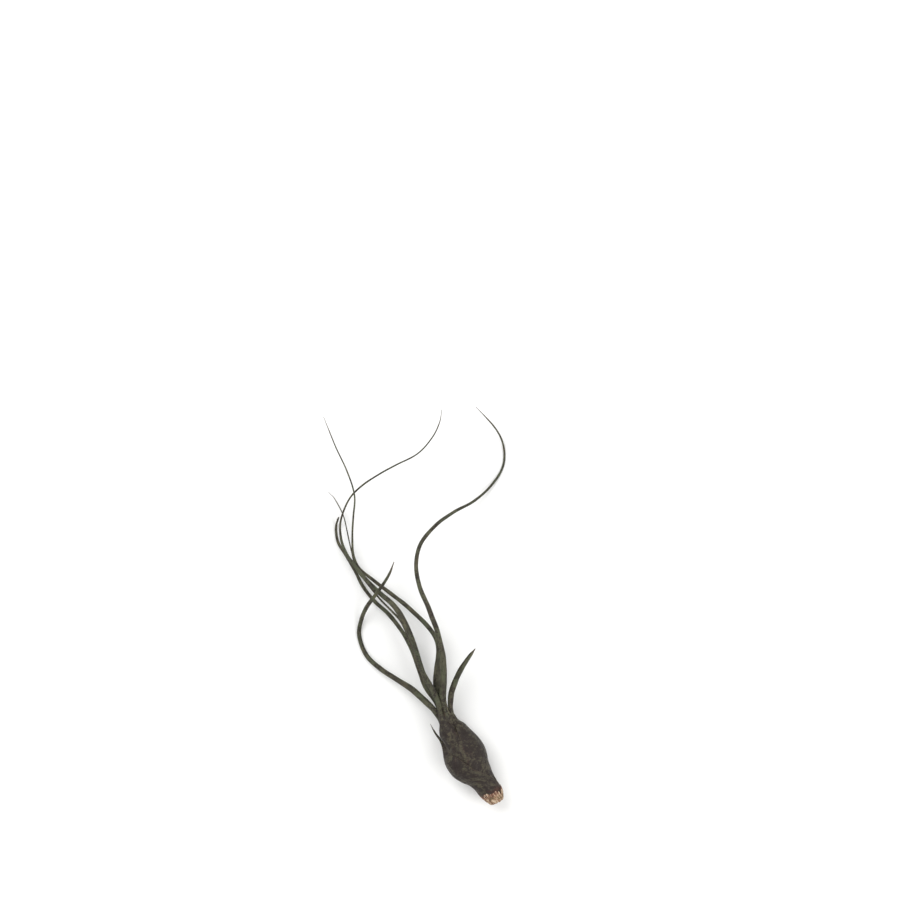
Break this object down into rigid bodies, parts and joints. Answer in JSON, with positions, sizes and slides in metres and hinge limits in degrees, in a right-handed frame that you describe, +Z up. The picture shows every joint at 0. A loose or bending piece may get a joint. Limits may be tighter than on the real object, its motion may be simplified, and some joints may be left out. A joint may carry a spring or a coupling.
{
  "type": "bulbous air plant",
  "caption": "Picked air plant lying flat: dark, mottled pseudobulb of nested sheaths that narrow to a neck, with long, thin, channelled leaves curling away from it",
  "frame": {"origin": "where the bulb touches the surface, under its widest part", "axes": "+Z up from the surface; +Y along the plant, from the bulb towards the leaf tips; +X to the plant's right as seen from above"},
  "size_m": [0.0798, 0.1734, 0.0193],
  "materials": {
    "leaf": "matte, dark grey-green, mottled purple-brown, with fine grey scales",
    "young_leaf": "matte, brown-green, with fine grey scales",
    "dry_scale": "dry, papery, tan to rust",
    "stem": "cut, fibrous, brown"
  },
  "bodies": {
    "root": {"stem": "stem", "dry_scale_1": "dry_scale", "dry_scale_2": "dry_scale", "dry_scale_3": "dry_scale", "leaf_short_spike": "leaf", "leaf_right_stub": "leaf", "leaf_wide_sweep": "leaf", "leaf_hooked_tip": "leaf", "leaf_long_right": "leaf", "leaf_low_left": "leaf", "leaf_tall_left": "leaf", "leaf_young_thin": "young_leaf"}
  },
  "joints": []
}
